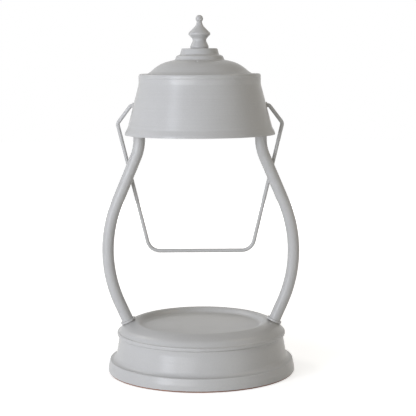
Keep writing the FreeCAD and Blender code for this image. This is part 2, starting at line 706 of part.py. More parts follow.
def base_bottom():
    """Felt pad, steel cover, weight, and the posts and screws that hold them."""
    cylinder("felt_pad", "base_radius - pad_inset", "pad_thickness")
    plate = cylinder(
        "cover_blank",
        "knee_radius - shell_wall - cover_gap",
        "cover_thickness",
        z="shell_bottom",
    )
    weight = cylinder("ballast_blank", "ballast_radius", "ballast_thickness", z="cover_top")
    screws = []
    rooms = []
    posts = []
    for i, angle in enumerate(around(3)):
        spot = on_circle("post_circle", angle)
        screws.append(countersink(f"cover_screw_{i}", "0", z="shell_bottom", **spot))
        rooms.append(countersink(f"cover_room_{i}", "fit_gap * 2", z="shell_bottom", **spot))
        post = cylinder(
            f"post_{i}_blank",
            "post_radius",
            "plate_underside - ballast_top",
            z="ballast_top",
            **spot,
        )
        bore = cylinder(
            f"post_{i}_bore",
            "cover_screw_radius + fit_gap",
            "post_bore_depth",
            z="ballast_top",
            **spot,
        )
        posts.append(cut(f"post_{i}", post, [bore]))
    group("cover_screws", screws)
    group("cover_posts", posts)
    all_rooms = fuse("cover_rooms", rooms)
    cut("bottom_cover", plate, [all_rooms])
    cut("ballast_plate", weight, [all_rooms])


def cable_inlet():
    """Hollow gland square to the rear of the waist, its nut inside the shell."""
    flange = cylinder(
        "gland_flange_disc",
        "gland_flange_radius",
        "gland_flange",
        **on_waist("seat_gap"),
    )
    neck = cylinder(
        "gland_neck",
        "gland_radius",
        "gland_reach",
        **on_waist("seat_gap - gland_reach"),
    )
    bore = cylinder(
        "gland_bore",
        "inlet_bore",
        "gland_reach + gland_flange",
        **on_waist("seat_gap - gland_reach"),
    )
    cut("cable_gland", fuse("gland_blank", [flange, neck]), [bore])
    nut(
        "gland_nut",
        "gland_nut_width",
        "gland_radius + fit_gap",
        "gland_nut_thickness",
        **on_waist("-(shell_wall + seat_gap * 2 + gland_nut_thickness)"),
    )


def terminals():
    block = box(
        "terminal_blank",
        "terminal_length",
        "terminal_width",
        "terminal_height",
        x="terminal_offset - terminal_length / 2",
        y="-terminal_width / 2",
        z="ballast_top",
    )
    wells = []
    screws = []
    for i in range(4):
        spot = dict(
            x=f"terminal_offset + terminal_pitch / 2 * {1 if i % 2 else -1}",
            y=f"terminal_pitch / 2 * {1 if i // 2 else -1}",
        )
        floor = "ballast_top + terminal_height - terminal_well_depth"
        well = cylinder(
            f"terminal_well_{i}",
            "terminal_well_radius",
            "terminal_well_depth",
            z=floor,
            **spot,
        )
        wells.append(well)
        head = cylinder(
            f"terminal_screw_{i}_head",
            "terminal_well_radius - fit_gap * 2",
            "terminal_well_depth / 2",
        )
        slot = box(
            f"terminal_screw_{i}_slot",
            "terminal_well_radius * 2",
            "terminal_well_radius / 3",
            "terminal_well_depth / 4",
            x="-terminal_well_radius",
            y="-terminal_well_radius / 6",
            z="terminal_well_depth / 4",
        )
        screws.append(place(cut(f"terminal_screw_{i}", head, [slot]), z=floor, **spot))
    cut("terminal_block", block, wells)
    group("terminal_screws", screws)


# Arms


def arm_route(start_x, start_z):
    """The arm's centre line, from a point on its foot's axis to the neck bend."""
    return [
        (start_x, start_z),
        ("arm_belly_x", "arm_belly_height", "arm_belly_radius"),
        ("arm_top_x", "arm_neck_height", "arm_neck_radius"),
    ]


def arms():
    foot = at_foot("arm_start")
    route = arm_route(foot["x"], foot["z"]) + [("arm_top_x", "arm_top")]
    tube = swept(
        "arm_tube",
        list(reversed(route)),
        "XY_Plane",
        "arm_top",
        "arm_top_x",
        "0",
        ["arm_radius", "arm_bore"],
    )
    slot = box(
        "lead_slot",
        "arm_diameter",
        "lead_slot_width",
        "lead_slot_length",
        x="arm_top_x - arm_diameter",
        y="-lead_slot_width / 2",
        z="lead_exit_height + lead_slot_rise",
    )
    cut("arm_right", tube, [slot])
    mirrored("arm_left", tube)


def pair(name, right):
    """A fastener on the right arm and its twin on the left one, in one node."""
    return group(name, [right, mirrored(name + "_left", right)])


def arm_fittings():
    collar = ring(
        "collar",
        "collar_radius",
        "nipple_radius + fit_gap",
        "collar_thickness",
        **at_foot("seat_gap"),
    )
    nipple = ring(
        "nipple",
        "nipple_radius",
        "nipple_bore",
        "nipple_up + nipple_down",
        **at_foot("-nipple_down"),
    )
    washer = ring(
        "foot_washer",
        "foot_washer_radius",
        "nipple_radius + fit_gap * 2",
        "foot_washer_thickness",
        **at_foot("-washer_depth"),
    )
    foot_nut = nut(
        "foot_nut",
        "foot_nut_width",
        "nipple_radius + fit_gap",
        "foot_nut_thickness",
        **at_foot("-(washer_depth + foot_nut_thickness)"),
    )
    insert = ring(
        "top_insert",
        "arm_bore - fit_gap",
        "strap_screw_radius + fit_gap",
        "insert_length",
        x="arm_top_x",
        z="arm_top - insert_length",
    )
    screw = pan_screw(
        "strap_screw",
        "strap_screw_radius",
        "strap_screw_length",
        "strap_screw_head_radius",
        "strap_screw_head_height",
        x="arm_top_x",
        z="strap_foot_top",
    )
    pair("arm_collars", collar)
    pair("arm_nipples", nipple)
    pair("arm_foot_washers", washer)
    pair("arm_foot_nuts", foot_nut)
    pair("arm_top_inserts", insert)
    pair("strap_screws", screw)


# Shade, dome, finial and what carries them


def shade():
    """Thin cone with an upright band above, a flared lip below and an open top."""
    outside = [
        ("rim_radius", "rim_height"),
        ("rim_radius - rim_taper", "rim_height + rim_band", "shade_wall"),
        ("lip_radius", "lip_height", "lip_fillet"),
        ("band_radius", "band_bottom", "band_fillet"),
        ("band_radius", "shade_top", "shade_edge"),
        ("shade_mouth", "shade_top"),
    ]
    inside = [
        ("shade_mouth", "shade_ceiling"),
        ("band_radius - shade_wall", "shade_ceiling", "shade_edge - shade_wall"),
        ("band_radius - shade_wall", "band_bottom", "band_fillet"),
        ("lip_radius - shade_wall", "lip_height", "lip_fillet"),
        ("rim_radius - rim_taper - shade_wall", "rim_height + rim_band", "shade_wall"),
        ("rim_radius - shade_wall * 1.1", "rim_height"),
    ]
    blank = turned("shade_blank", outside + inside)
    pivot_hole = cylinder(
        "pivot_hole",
        "bush_radius + fit_gap",
        "rim_radius * 2",
        x="-rim_radius",
        z="pivot_height",
        **SIDEWAYS,
    )
    cut("shade", blank, [pivot_hole])


def dome():
    """Spun cap on the shade: flared foot, round cap, low tier, crown and vent holes."""
    outside = [
        ("dome_radius", "dome_foot"),
        ("dome_radius - dome_foot_run", "dome_foot + dome_foot_rise", "dome_foot_run"),
        ("dome_radius - dome_run", "dome_foot + dome_rise", "dome_rounding"),
        ("tier_radius", "tier_foot", "shade_wall"),
        ("tier_radius - tier_run", "tier_top", "tier_rounding"),
        ("crown_radius", "crown_foot", "crown_rounding"),
        ("crown_radius - crown_taper", "crown_top", "crown_rounding"),
        ("0", "crown_top"),
    ]
    inside = [
        ("0", "crown_underside"),
        ("crown_radius - crown_taper - shade_wall", "crown_underside"),
        ("crown_radius - shade_wall", "crown_foot - shade_wall / 2"),
        ("tier_radius - tier_run - shade_wall", "tier_top - shade_wall"),
        ("tier_inner_radius", "tier_foot - shade_wall / 2"),
        ("dome_radius - dome_run - shade_wall / 2", "dome_foot + dome_rise - shade_wall", "dome_rounding"),
        ("dome_radius - dome_foot_run - shade_wall", "dome_foot + dome_foot_rise - shade_wall / 2"),
        ("dome_radius - shade_wall * 2", "dome_foot"),
    ]
    blank = turned("dome_blank", outside + inside)
    stud_hole = cylinder(
        "stud_hole",
        "stud_radius + fit_gap * 2",
        "shade_wall * 4",
        z="crown_top - shade_wall * 2",
    )
    vents = []
    for i, angle in enumerate(around(4)):
        vent = cylinder(
            f"vent_{i}",
            "vent_radius",
            "dome_height",
            z="dome_foot + dome_height / 2",
            **on_circle("vent_circle", f"({angle} - vent_turn)"),
        )
        vents.append(vent)
    cut("dome", blank, [stud_hole] + vents)


def finial():
    """Turned knob: foot, waist, disc, spire and ball, with a blind thread for the stud."""
    blank = turned("finial_blank", [
        ("0", "finial_foot"),
        ("finial_foot_radius", "finial_foot", "finial_disc_rounding"),
        ("finial_foot_radius", "finial_foot_edge", "finial_disc_rounding"),
        ("finial_waist_radius", "finial_waist", "finial_waist_rounding"),
        ("finial_disc_radius", "finial_disc", "finial_disc_rounding"),
        ("finial_disc_radius", "finial_disc_top", "finial_disc_rounding"),
        ("finial_spire_radius", "finial_spire", "finial_spire_rounding"),
        ("finial_neck_radius", "finial_neck"),
        ("0", "finial_neck"),
    ])
    ball = doc.addObject("Part::Sphere", "finial_ball")
    bind(ball, "Radius", "finial_ball_radius")
    place(ball, z="finial_neck + finial_ball_rise")
    bore = cylinder(
        "finial_bore",
        "stud_radius + fit_gap",
        "stud_reach + seat_gap * 2",
        z="crown_top",
    )
    cut("finial", fuse("finial_solid", [blank, ball]), [bore])


def centre_stud():
    """Stud from the strap up into the finial, which clamps the dome on the shade."""
    head = cylinder(
        "stud_head",
        "stud_head_radius",
        "stud_head_thickness",
        z="strap_underside - fit_gap - stud_head_thickness",
    )
    shank = cylinder(
        "stud_shank",
        "stud_radius",
        "crown_top + stud_reach - strap_underside",
        z="strap_underside - fit_gap",
    )
    fuse("centre_stud", [head, shank])
    nut(
        "stud_nut",
        "stud_nut_width",
        "stud_radius + fit_gap",
        "stud_nut_thickness",
        z="strap_top",
    )


def strap():
    """Formed strap: feet on the arms, ledges under the shade, flat for the lampholder."""
    body = new_body("strap_blank")
    sketch = new_sketch(body, "strap_section", "XZ_Plane")
    half = [
        ("strap_flat_x", "strap_top"),
        ("strap_ledge_x", "ledge_top"),
        ("strap_riser_x", "ledge_top"),
        ("strap_riser_x", "strap_foot_top"),
        ("strap_end_x", "strap_foot_top"),
        ("strap_end_x", "arm_top"),
        ("strap_riser_x - strap_thickness", "arm_top"),
        ("strap_riser_x - strap_thickness", "ledge_top - strap_thickness"),
        ("strap_ledge_x - strap_thickness / 2", "ledge_top - strap_thickness"),
        ("strap_flat_x - strap_thickness / 2", "strap_underside"),
    ]
    other = [(f"-({x})", z) for x, z in reversed(half)]
    trace(sketch, half + other)
    pad = body.newObject("PartDesign::Pad", "strap_pad")
    pad.Profile = sketch
    pad.SideType = "Symmetric"
    bind(pad, "Length", "strap_width")
    body.Tip = pad
    holes = [strap_hole("strap_stud_hole", "stud_radius", "0", "strap_underside")]
    for side in ("", "-"):
        holes.append(strap_hole(
            "strap_holder_hole", "holder_screw_radius", side + "holder_screw_x", "strap_underside"
        ))
        holes.append(strap_hole("strap_foot_hole", "strap_screw_radius", side + "arm_top_x", "arm_top"))
    cut("bridge_strap", body, holes)


def strap_hole(name, radius, x, underside):
    """Clearance hole for a screw, right through the strap."""
    return cylinder(
        name,
        f"{radius} + fit_gap * 2",
        "strap_thickness * 3",
        x=x,
        z=f"{underside} - strap_thickness",
    )


# Lampholder and bulb


def sector(name, radius, height, start, sweep, **where):
    """A slice of a cylinder, from the angle start through the angle sweep."""
    thing = doc.addObject("Part::Cylinder", name)
    bind(thing, "Radius", radius)
    bind(thing, "Height", height)
    bind(thing, "Angle", f"({sweep}) * 1 deg")
    return place(thing, axis=(0, 0, 1), angle=start, **where)


def pin_slot(name, side, half_width, height, bottom):
    """Curved slot around the bulb's axis, along which one pin turns free."""
    spread = f"asin(({half_width}) / pin_circle) / 1 deg"
    outer = sector(
        name + "_outer",
        f"pin_circle + ({half_width})",
        height,
        f"{side} - twist_angle - {spread}",
        f"twist_angle + 2 * {spread}",
        z=bottom,
    )
    inner = cylinder(name + "_inner", f"pin_circle - ({half_width})", height, z=bottom)
    return cut(name, outer, [inner])


def lampholder():
    """Ceramic GU10 holder: the pins enter two holes and turn along two curved slots."""
    blank = cylinder("holder_blank", "holder_radius", "holder_height", z="holder_bottom")
    head_room = cylinder(
        "holder_head_room",
        "stud_head_radius + bulb_gap",
        "stud_head_thickness + bulb_gap",
        z="strap_underside - stud_head_thickness - bulb_gap",
    )
    tools = [head_room]
    neck = "pin_neck_radius + pin_gap"
    head = "pin_head_radius + pin_gap"
    lip = "(pin_neck_height - bulb_gap - pin_gap)"
    slot_top = f"{lip} + pin_head_height + pin_gap * 2"
    for side in (0, 180):
        tools.append(pin_slot(f"neck_slot_{side}", side, neck, lip, "holder_bottom"))
        tools.append(pin_slot(
            f"head_slot_{side}",
            side,
            f"{head} + fit_gap",
            f"{slot_top} - {lip}",
            f"holder_bottom + {lip}",
        ))
        tools.append(cylinder(
            f"pin_entry_{side}",
            head,
            slot_top,
            z="holder_bottom",
            **on_circle("pin_circle", f"({side} - twist_angle)"),
        ))
    screws = []
    for side in ("", "-"):
        tools.append(cylinder(
            "holder_screw_bore",
            "holder_screw_radius + fit_gap",
            "holder_screw_length",
            x=side + "holder_screw_x",
            z="strap_top - holder_screw_length - seat_gap",
        ))
        screws.append(pan_screw(
            "holder_screw",
            "holder_screw_radius",
            "holder_screw_length",
            "holder_screw_head_radius",
            "holder_screw_head_height",
            x=side + "holder_screw_x",
            z="strap_top",
        ))
    cut("lampholder", blank, tools)
    group("lampholder_screws", screws)


def bulb():
    """GU10 halogen bulb: ceramic base with two pins, reflector, front glass, capsule."""
    turned("bulb_base", [
        ("0", "bulb_shoulder"),
        ("bulb_base_radius", "bulb_shoulder", "bulb_glass"),
        ("bulb_base_radius", "bulb_top", "bulb_glass"),
        ("0", "bulb_top"),
    ])
    pins = []
    for side in ("", "-"):
        neck = cylinder("pin_neck", "pin_neck_radius", "pin_neck_height")
        head = cylinder("pin_head", "pin_head_radius", "pin_head_height", z="pin_neck_height")
        pins.append(place(fuse("bulb_pin", [neck, head]), x=side + "pin_circle", z="bulb_top"))
    group("bulb_pins", pins)
    turned("bulb_reflector", [
        ("bulb_radius - bulb_glass", "reflector_foot"),
        ("bulb_radius", "reflector_foot"),
        ("bulb_radius", "reflector_rim"),
        ("bulb_bowl_radius", "reflector_rim + bulb_bowl_rise", "bulb_bowl_rounding"),
        ("bulb_neck_radius", "bulb_shoulder"),
        ("bulb_neck_radius - bulb_glass * 2", "bulb_shoulder"),
        ("bulb_bowl_radius - bulb_glass * 1.2", "reflector_rim + bulb_bowl_rise - bulb_glass",
         "bulb_bowl_rounding"),
        ("bulb_radius - bulb_glass", "reflector_rim - bulb_glass / 2"),
    ])
    turned("bulb_lens", [
        ("0", "bulb_face"),
        ("bulb_radius", "bulb_face", "lens_thickness / 4"),
        ("bulb_radius", "bulb_face + lens_thickness"),
        ("0", "bulb_face + lens_thickness"),
    ])
    turned("bulb_capsule", [
        ("0", "bulb_shoulder - capsule_length"),
        ("capsule_radius", "bulb_shoulder - capsule_length", "capsule_radius * 0.8"),
        ("capsule_radius", "bulb_shoulder - fit_gap"),
        ("0", "bulb_shoulder - fit_gap"),
    ])


# Bail


def bail():
    """Wire handle, swept in its own plane and leaned back from its pivots."""
    half = [
        ("wire_end_x", "0"),
        ("pivot_bend_x", "0", "pivot_bend_radius"),
        ("elbow_x", "-elbow_drop", "elbow_radius"),
        ("bail_foot_x", "-bail_drop", "bail_corner_radius"),
    ]
    other = [(f"-({corner[0]})", *corner[1:]) for corner in reversed(half)]
    wire = swept("bail_handle", half + other, "YZ_Plane", "wire_end_x", "0", "0", ["wire_radius"])
    place(wire, z="pivot_height", axis=(1, 0, 0), angle="bail_lean")
    neck = ring("bush_neck", "bush_radius", "bush_bore", "bush_outer_x - bush_inner_x")
    flange = ring("bush_flange_ring", "bush_flange_radius", "bush_bore", "bush_flange_thickness")
    bush = fuse("bail_bush", [neck, flange])
    pair("bail_bushes", place(bush, x="bush_inner_x", z="pivot_height", **SIDEWAYS))
    outside = cylinder("cap_outside", "cap_radius", "cap_length")
    socket = cylinder("cap_socket", "wire_radius + fit_gap", "cap_length", z="cap_length / 3")
    cap = cut("bail_cap", outside, [socket])
    pair("bail_caps", place(
        cap,
        x="bush_inner_x - cap_gap - cap_length",
        z="pivot_height",
        **SIDEWAYS,
    ))


# Lead from the terminal block, up inside the right arm, to the lampholder


def rounded_wire(points, radii):
    """Straight runs joined by tangent arcs, as one wire."""
    edges = []
    last = points[0]
    for i in range(1, len(points) - 1):
        into = (points[i] - points[i - 1]).normalize()
        out = (points[i + 1] - points[i]).normalize()
        turn = into.getAngle(out)
        reach = radii[i - 1] * math.tan(turn / 2)
        first = points[i] - into * reach
        final = points[i] + out * reach
        inward = (out - into).normalize()
        sagitta = radii[i - 1] / math.cos(turn / 2) - radii[i - 1]
        edges.append(Part.LineSegment(last, first).toShape())
        edges.append(Part.Arc(first, points[i] + inward * sagitta, final).toShape())
        last = final
    edges.append(Part.LineSegment(last, points[-1]).toShape())
    return Part.Wire(edges)


def lead():
    """Silicone lead along the right arm's own bends, out of its slot to the lampholder."""
    foot_run = "(seat_height - lead_start_height) * tan(arm_lean)"
    route = [
        ("terminal_end + fit_gap", "lead_start_height"),
        (f"arm_foot_x - {foot_run}", "lead_start_height", "lead_bend"),
        *arm_route("arm_foot_x", "seat_height")[1:],
        ("arm_top_x", "lead_exit_height", "lead_exit_bend"),
        ("lead_turn_x", "holder_bottom - lead_turn_drop", "lead_turn_bend"),
        ("holder_radius + lead_end_run", "lead_end_height", "lead_end_bend"),
        ("holder_radius + seat_gap", "lead_end_height"),
    ]
    points = [FreeCAD.Vector(value(corner[0]), 0, value(corner[1])) for corner in route]
    radii = [value(corner[2]) for corner in route[1:-1]]
    wire = rounded_wire(points, radii)
    circle = Part.Circle(points[0], points[1] - points[0], value("lead_diameter / 2"))
    section = Part.Wire([circle.toShape()])
    thing = doc.addObject("Part::Feature", "bulb_lead")
    thing.Shape = wire.makePipeShell([section], True, False)
    straight_volume = math.pi * value("lead_diameter / 2") ** 2 * wire.Length
    print("bulb_lead: volume over section times length", round(thing.Shape.Volume / straight_volume, 4))


NODES = [
    "base_shell", "felt_pad", "bottom_cover", "ballast_plate", "cover_posts", "cover_screws",
    "cable_gland", "gland_nut", "terminal_block", "terminal_screws",
    "arm_left", "arm_right", "arm_collars", "arm_nipples", "arm_foot_washers", "arm_foot_nuts",
    "arm_top_inserts", "strap_screws", "bridge_strap", "shade", "dome", "finial",
    "centre_stud", "stud_nut", "lampholder", "lampholder_screws",
    "bulb_base", "bulb_pins", "bulb_reflector", "bulb_lens", "bulb_capsule",
    "bail_handle", "bail_bushes", "bail_caps", "bulb_lead",
]

for build in (
    base_shell, base_bottom, cable_inlet, terminals, arms, arm_fittings, shade, dome, finial,
    centre_stud, strap, lampholder, bulb, bail, lead,
):
    build()
doc.recompute()

for thing in doc.Objects:
    if "Invalid" in thing.State or "Error" in thing.State:
        raise RuntimeError(f"{thing.Name} failed: {thing.State}")
os.makedirs("parts", exist_ok=True)
for node in NODES:
    shape = doc.getObject(node).Shape
    if shape.isNull() or not shape.isValid() or not shape.Solids:
        raise RuntimeError(f"{node} has no valid solid")
for node in NODES:
    shape = doc.getObject(node).Shape
    shape.exportStep(f"parts/{node}.step")
    print(f"{node}: {len(shape.Solids)} solids, {shape.Volume:.1f} mm3")
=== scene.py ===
import json
import math

import bmesh
import bpy
from mathutils import Matrix, Vector


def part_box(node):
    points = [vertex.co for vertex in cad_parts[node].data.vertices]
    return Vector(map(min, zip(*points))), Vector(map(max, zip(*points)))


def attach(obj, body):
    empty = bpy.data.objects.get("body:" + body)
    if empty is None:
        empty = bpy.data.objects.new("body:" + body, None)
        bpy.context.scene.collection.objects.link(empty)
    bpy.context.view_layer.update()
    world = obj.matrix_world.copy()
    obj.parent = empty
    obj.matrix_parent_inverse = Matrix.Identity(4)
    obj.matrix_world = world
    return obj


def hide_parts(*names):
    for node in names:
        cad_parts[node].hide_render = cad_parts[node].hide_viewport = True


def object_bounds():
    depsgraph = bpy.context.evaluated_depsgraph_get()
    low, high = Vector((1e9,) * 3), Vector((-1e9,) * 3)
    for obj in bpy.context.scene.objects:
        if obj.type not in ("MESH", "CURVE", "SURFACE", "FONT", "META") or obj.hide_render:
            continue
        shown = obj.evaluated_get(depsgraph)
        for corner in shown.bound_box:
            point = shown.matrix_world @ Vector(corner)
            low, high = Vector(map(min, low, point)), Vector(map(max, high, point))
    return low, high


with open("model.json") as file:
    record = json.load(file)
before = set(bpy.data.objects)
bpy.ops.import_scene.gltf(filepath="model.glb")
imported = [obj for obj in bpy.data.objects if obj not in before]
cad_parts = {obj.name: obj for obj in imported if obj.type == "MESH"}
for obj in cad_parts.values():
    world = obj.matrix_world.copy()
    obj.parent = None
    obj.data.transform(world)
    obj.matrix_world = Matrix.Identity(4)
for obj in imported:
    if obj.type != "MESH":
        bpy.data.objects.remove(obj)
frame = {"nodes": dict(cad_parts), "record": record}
CAD_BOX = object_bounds()

# Camera: in front of the lamp, level with its shade and tipped down a little. Places are in metres,
# the lens and its sensor in millimetres.
CAMERA_DISTANCE = 1.0554
CAMERA_HEIGHT = 0.2651
CAMERA_ASIDE = 0.0064
CAMERA_TIP = math.radians(6.776)
CAMERA_ROLL = math.radians(0.32)
FOCAL_LENGTH = 108.17
SENSOR_WIDTH = 36.0

# Studio: a white surround and soft lamps, cool from the front left and warmer from the right and behind.
# Azimuth is around the object, 0 at the front and positive to the right. Angles are in degrees.
AMBIENT = 0.21
LAMP_DISTANCE = 1.3
STUDIO_LAMPS = [
    # name, azimuth, elevation, width, height, power, colour
    ("key_lamp", -30, 5, 1.0, 0.35, 6.2, (0.96, 0.97, 1.0)),
    ("left_lamp", -45, 12, 0.38, 0.8, 7.0, (0.86, 0.9, 1.0)),
    ("rear_left_lamp", -120, 40, 0.5, 0.5, 2.8, (1.0, 0.98, 0.9)),
    ("right_lamp", 40, 5, 0.8, 0.35, 0.7, (1.0, 0.96, 0.66)),
    ("low_right_lamp", 100, 5, 0.35, 0.35, 0.75, (1.0, 0.9, 0.88)),
    ("rear_right_lamp", 100, 55, 0.5, 0.5, 1.95, (1.0, 0.87, 0.64)),
]
# A fill for the back that lights it but shows in no reflection, so the plate stays free of glare
BACK_FILL = ("back_fill", 180, 4, 0.9, 0.3, 3.6, (1.0, 0.98, 0.95))
WHITE = (1, 1, 1, 1)
FLOOR_SIZE = 6.0
FLOOR_GAP = 0.0002
FLOOR_COLOUR = (0.86, 0.86, 0.86, 1)
FLOOR_GLOW_NEAR = 0.56
FLOOR_GLOW_RISE = 0.38
FLOOR_GLOW_REACH = 0.75

# The usual range of a noise texture, which is stretched to run from 0 to 1
NOISE_LOW = 0.3
NOISE_HIGH = 0.7

# Powder coat: widths and depths of its mottling, grain, orange peel and duller patches
PAINT_GREYS = ((0.49, 0.487, 0.482), (0.51, 0.507, 0.502))
PAINT_MOTTLE = 0.035
PAINT_GRAIN = 0.0009
PAINT_PEEL = 0.0016
PAINT_PEEL_DEPTH = 0.00003
PAINT_PORE = 0.0004
PAINT_PORE_DEPTH = 0.00001
PAINT_RELIEF = 0.5
PAINT_PATCH = 0.012
PAINT_ROUGHNESS = (0.39, 0.46)

# Rings left by spinning, under the paint of the turned pieces, and the groove near the shade's top
TURNED_PAINTS = {
    "base_shell": "turned_paint",
    "dome": "turned_paint",
    "finial": "turned_paint",
    "shade": "shade_paint",
}
RING_PITCH = 0.0028
RING_STRETCH = 0.02
RING_DEPTH = 0.0003
RING_RELIEF = 0.6
GROOVE_DROP = 0.0038
GROOVE_WIDTH = 0.0011
GROOVE_DEPTH = 0.00013

# Felt pad under the base
FELT_EDGE = 0.0003
FELT_COLUMNS = 144
FELT_FRAY = 0.00008
FELT_FRAY_WAVES = 37
FELT_FRAY_DRIFT = 11
FELT_ROUNDING = 0.3
FELT_RINGS = (0.02, 0.25, 0.5, 0.75, 0.92)

# Bulb: facets inside the reflector, and the coil in its capsule
REFLECTOR_COLUMNS = 72
REFLECTOR_RIM = 0.003
REFLECTOR_BOWL_RADIUS = 0.0172
REFLECTOR_BOWL_RISE = 0.0140
REFLECTOR_GLASS = 0.0014
REFLECTOR_NECK = 0.0052
REFLECTOR_NECK_WALLS = 3
REFLECTOR_OUTSIDE_STEPS = 10
REFLECTOR_FACET_ROWS = 9
COIL_RADIUS = 0.0007
COIL_WIRE = 0.00012
COIL_TURNS = 11
COIL_HEIGHT = 0.0062
COIL_POINTS_A_TURN = 12
COIL_LEG_OUT = 3
COIL_RETURN_OUT = 2
COIL_RETURN_RISE = 1.2


# Camera, lamps and floor


def photo_camera():
    """A camera in front of the lamp, tipped down and turned a little about its own axis."""
    right = Vector((1, 0, 0))
    up = Vector((0, math.sin(CAMERA_TIP), math.cos(CAMERA_TIP)))
    forward = Vector((0, math.cos(CAMERA_TIP), -math.sin(CAMERA_TIP)))
    cos, sin = math.cos(CAMERA_ROLL), math.sin(CAMERA_ROLL)
    axes = Matrix((right * cos - up * sin, right * sin + up * cos, -forward)).transposed()
    data = bpy.data.cameras.new("photo_camera")
    data.sensor_width = SENSOR_WIDTH
    data.lens = FOCAL_LENGTH
    camera = bpy.data.objects.new("photo_camera", data)
    bpy.context.scene.collection.objects.link(camera)
    place = Matrix.Translation((CAMERA_ASIDE, -CAMERA_DISTANCE, CAMERA_HEIGHT))
    camera.matrix_world = place @ axes.to_4x4()
    bpy.context.scene.camera = camera


def studio_lamp(name, azimuth, elevation, width, height, power, colour, target):
    """A soft box that faces the target from the given direction."""
    around, above = math.radians(azimuth), math.radians(elevation)
    outward = Vector((
        math.sin(around) * math.cos(above),
        -math.cos(around) * math.cos(above),
        math.sin(above),
    ))
    data = bpy.data.lights.new(name, "AREA")
    data.shape = "RECTANGLE"
    data.size = width
    data.size_y = height
    data.energy = power
    data.color = colour
    lamp = bpy.data.objects.new(name, data)
    bpy.context.scene.collection.objects.link(lamp)
    lamp.location = target + outward * LAMP_DISTANCE
    lamp.rotation_euler = (-outward).to_track_quat("-Z", "Y").to_euler()
    return lamp


def seen_rays(tree):
    """1 for rays that show a surface directly, in a reflection or through glass, and else 0."""
    path = tree.nodes.new("ShaderNodeLightPath")
    seen = path.outputs["Is Camera Ray"]
    for ray in ("Is Glossy Ray", "Is Transmission Ray"):
        either = tree.nodes.new("ShaderNodeMath")
        either.operation = "MAXIMUM"
        tree.links.new(seen, either.inputs[0])
        tree.links.new(path.outputs[ray], either.inputs[1])
        seen = either.outputs[0]
    return seen


def white_surround():
    """A world that shows and reflects as white, and lights surfaces more gently."""
    world = bpy.data.worlds.new("studio")
    bpy.context.scene.world = world
    world.use_nodes = True
    nodes, links = world.node_tree.nodes, world.node_tree.links
    nodes.clear()
    gentle = nodes.new("ShaderNodeBackground")
    gentle.inputs["Color"].default_value = WHITE
    gentle.inputs["Strength"].default_value = AMBIENT
    white = nodes.new("ShaderNodeBackground")
    white.inputs["Color"].default_value = WHITE
    white.inputs["Strength"].default_value = 1
    mix = nodes.new("ShaderNodeMixShader")
    links.new(seen_rays(world.node_tree), mix.inputs["Fac"])
    links.new(gentle.outputs[0], mix.inputs[1])
    links.new(white.outputs[0], mix.inputs[2])
    output = nodes.new("ShaderNodeOutputWorld")
    links.new(mix.outputs[0], output.inputs["Surface"])


def floor_glow(tree):
    """How strongly the floor glows for rays that show it: more further out, where less light falls."""
    place = tree.nodes.new("ShaderNodeTexCoord").outputs["Object"]
    distance = tree.nodes.new("ShaderNodeVectorMath")
    distance.operation = "LENGTH"
    tree.links.new(place, distance.inputs[0])
    beyond = tree.nodes.new("ShaderNodeMath")
    beyond.operation = "ADD"
    beyond.inputs[1].default_value = FLOOR_GLOW_REACH
    tree.links.new(distance.outputs["Value"], beyond.inputs[0])
    share = tree.nodes.new("ShaderNodeMath")
    share.operation = "DIVIDE"
    tree.links.new(distance.outputs["Value"], share.inputs[0])
    tree.links.new(beyond.outputs[0], share.inputs[1])
    glow = tree.nodes.new("ShaderNodeMath")
    glow.operation = "MULTIPLY_ADD"
    glow.inputs[1].default_value = FLOOR_GLOW_RISE
    glow.inputs[2].default_value = FLOOR_GLOW_NEAR
    tree.links.new(share.outputs[0], glow.inputs[0])
    seen = tree.nodes.new("ShaderNodeMath")
    seen.operation = "MULTIPLY"
    tree.links.new(glow.outputs[0], seen.inputs[0])
    tree.links.new(seen_rays(tree), seen.inputs[1])
    return seen.outputs[0]


def pale_floor():
    """A wide pale floor that shows as white where no shadow of the lamp falls on it."""
    half = FLOOR_SIZE / 2
    mesh = bpy.data.meshes.new("floor")
    corners = [(-half, -half, 0), (half, -half, 0), (half, half, 0), (-half, half, 0)]
    mesh.from_pydata(corners, [], [(0, 1, 2, 3)])
    floor = bpy.data.objects.new("floor", mesh)
    floor.location.z = -FLOOR_GAP
    bpy.context.scene.collection.objects.link(floor)
    surface = bpy.data.materials.new("floor")
    surface.use_nodes = True
    nodes, links = surface.node_tree.nodes, surface.node_tree.links
    nodes.clear()
    pale = nodes.new("ShaderNodeBsdfDiffuse")
    pale.inputs["Color"].default_value = FLOOR_COLOUR
    glow = nodes.new("ShaderNodeEmission")
    glow.inputs["Color"].default_value = WHITE
    links.new(floor_glow(surface.node_tree), glow.inputs["Strength"])
    both = nodes.new("ShaderNodeAddShader")
    links.new(pale.outputs[0], both.inputs[0])
    links.new(glow.outputs[0], both.inputs[1])
    output = nodes.new("ShaderNodeOutputMaterial")
    links.new(both.outputs[0], output.inputs["Surface"])
    mesh.materials.append(surface)


# Materials


